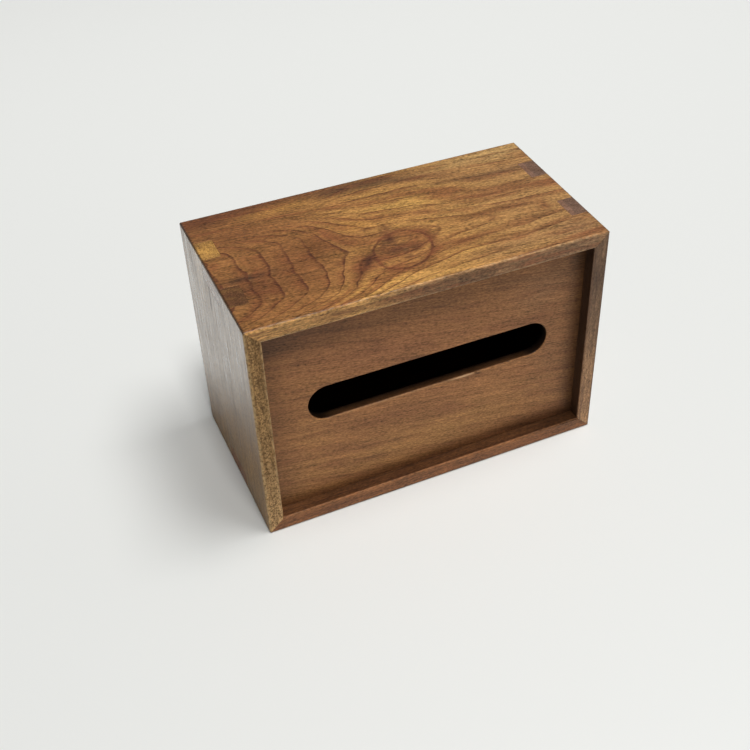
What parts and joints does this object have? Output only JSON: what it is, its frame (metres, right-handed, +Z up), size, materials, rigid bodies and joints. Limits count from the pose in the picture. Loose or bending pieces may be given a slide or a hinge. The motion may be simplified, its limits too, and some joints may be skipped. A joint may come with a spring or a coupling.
{
  "type": "wooden tissue box",
  "caption": "Rectangular wooden tissue box on its long side, finger-jointed at the corners, with a round-ended slot in a recessed front and a base panel that slides out sideways.",
  "frame": {"origin": "on the surface that the box stands on, under the middle of the box", "axes": "+X along the box's length, towards the side where the base panel slides out; -Y out of the slotted front; +Z up as the box stands on its long side"},
  "size_m": [0.19, 0.1, 0.13],
  "materials": {
    "top_board_wood": "golden brown flat-sawn wood with reddish growth lines and one knot, satin oiled",
    "bottom_board_wood": "red-brown straight-grained wood, satin oiled",
    "left_board_wood": "tan wood with dark flecks and a light sapwood streak, satin oiled",
    "right_board_wood": "grey-brown wood with dark flecks, satin oiled",
    "slotted_panel_wood": "mid brown fine-grained wood, satin oiled",
    "base_panel_wood": "mid brown fine-grained wood, satin oiled"
  },
  "bodies": {
    "box": {"top_board": "top_board_wood", "bottom_board": "bottom_board_wood", "left_board": "left_board_wood", "right_board": "right_board_wood", "slotted_panel": "slotted_panel_wood"},
    "base": {"base_panel": "base_panel_wood"}
  },
  "joints": [
    {"name": "base_slide", "type": "slide", "parent": "box", "child": "base", "axis": [1, 0, 0], "range_m": [0, 0.172]}
  ]
}
